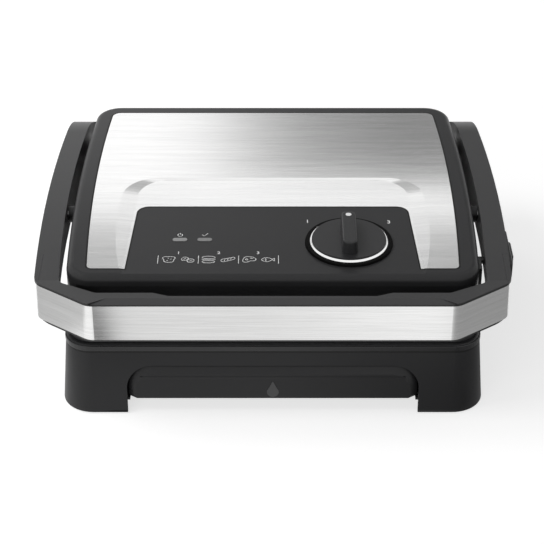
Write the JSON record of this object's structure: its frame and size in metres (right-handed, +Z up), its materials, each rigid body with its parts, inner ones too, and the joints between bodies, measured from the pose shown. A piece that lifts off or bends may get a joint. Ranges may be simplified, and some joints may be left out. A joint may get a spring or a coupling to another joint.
{
  "type": "electric contact grill",
  "caption": "Countertop contact grill with a floating hinged lid, ribbed plates, a wrap-round handle, a rotary heat knob, a side lock and a drip tray that slides out in front.",
  "frame": {"origin": "centre of the grill's footprint on the table, with the side lock's small overhang left out", "axes": "+X to the grill's right as seen from its front, +Y from the handle's front bar to the hinge, +Z up"},
  "size_m": [0.3806, 0.3256, 0.1363],
  "materials": {
    "housing_plastic": "fine satin grain, charcoal black",
    "bay_plastic": "plain moulded black",
    "tray_plastic": "fine satin grain, charcoal black",
    "handle_plastic": "satin moulded, dark grey",
    "lid_plastic": "satin moulded, dark grey",
    "band_steel": "brushed along its length",
    "cover_steel": "brushed across the lid",
    "plate_coating": "non-stick coated cast aluminium plate",
    "sheet_steel": "plain pressed sheet",
    "pin_steel": "turned steel",
    "heater_tube": "oxidised tubular element",
    "ring_chrome": "polished ring",
    "knob_plastic": "satin black moulding",
    "pointer_white": "white inlay",
    "lens_clear": "frosted pale lens",
    "lamp_glass": "clear small lamp",
    "ceramic": "pale ceramic terminal body",
    "foot_rubber": "matt rubber",
    "screw_steel": "plain screw heads"
  },
  "bodies": {
    "base": {"base_housing": "housing_plastic", "base_bay": "bay_plastic", "base_rim": "bay_plastic", "lower_plate": "plate_coating", "lower_heater": "heater_tube", "lower_reflector": "sheet_steel", "thermal_fuse": "sheet_steel", "terminal_block": "ceramic", "cord_gland": "foot_rubber", "cord_clamp": "bay_plastic", "rubber_feet": "foot_rubber", "base_screws": "screw_steel", "hinge_ears": "sheet_steel", "hinge_pins": "pin_steel", "lock_catch": "sheet_steel"},
    "tray": {"drip_tray": "tray_plastic"},
    "handle": {"handle_shell": "handle_plastic", "handle_under_cover": "handle_plastic", "arm_cover_right": "handle_plastic", "arm_cover_left": "handle_plastic", "steel_band": "band_steel", "corner_cap_right": "handle_plastic", "corner_cap_left": "handle_plastic", "arm_bar_right": "sheet_steel", "arm_bar_left": "sheet_steel", "pivot_pins": "pin_steel", "hinge_bushes": "bay_plastic", "handle_screws": "screw_steel", "lock_bezel": "knob_plastic"},
    "lock": {"lock_button": "knob_plastic", "lock_tab": "sheet_steel"},
    "lid": {"lid_frame": "lid_plastic", "lid_skirt": "bay_plastic", "steel_cover": "cover_steel", "power_lens": "lens_clear", "ready_lens": "lens_clear", "power_lamp": "lamp_glass", "ready_lamp": "lamp_glass", "lamp_holder": "bay_plastic", "thermostat": "ceramic", "thermostat_bracket": "sheet_steel", "upper_plate": "plate_coating", "upper_heater": "heater_tube", "upper_reflector": "sheet_steel"},
    "knob": {"knob_skirt": "knob_plastic", "knob_ring": "ring_chrome", "knob_cap": "knob_plastic", "knob_pointer": "pointer_white", "knob_spindle": "pin_steel"}
  },
  "joints": [
    {"name": "handle_hinge", "type": "hinge", "parent": "base", "child": "handle", "pos_m": [0, 0.148, 0.079], "axis": [-1, 0, 0], "range_deg": [0, 95]},
    {"name": "lid_float", "type": "hinge", "parent": "handle", "child": "lid", "pos_m": [0, -0.019, 0.107], "axis": [1, 0, 0], "range_deg": [0, 2.5]},
    {"name": "lock_slide", "type": "slide", "parent": "handle", "child": "lock", "axis": [0, -1, 0], "range_m": [0, 0.01]},
    {"name": "knob_turn", "type": "hinge", "parent": "lid", "child": "knob", "pos_m": [0.0605, -0.0856, 0.12032], "axis": [0, -0.0192, 0.9998], "range_deg": [-56, 56]},
    {"name": "tray_slide", "type": "slide", "parent": "base", "child": "tray", "axis": [0, -1, 0], "range_m": [0, 0.19]}
  ]
}
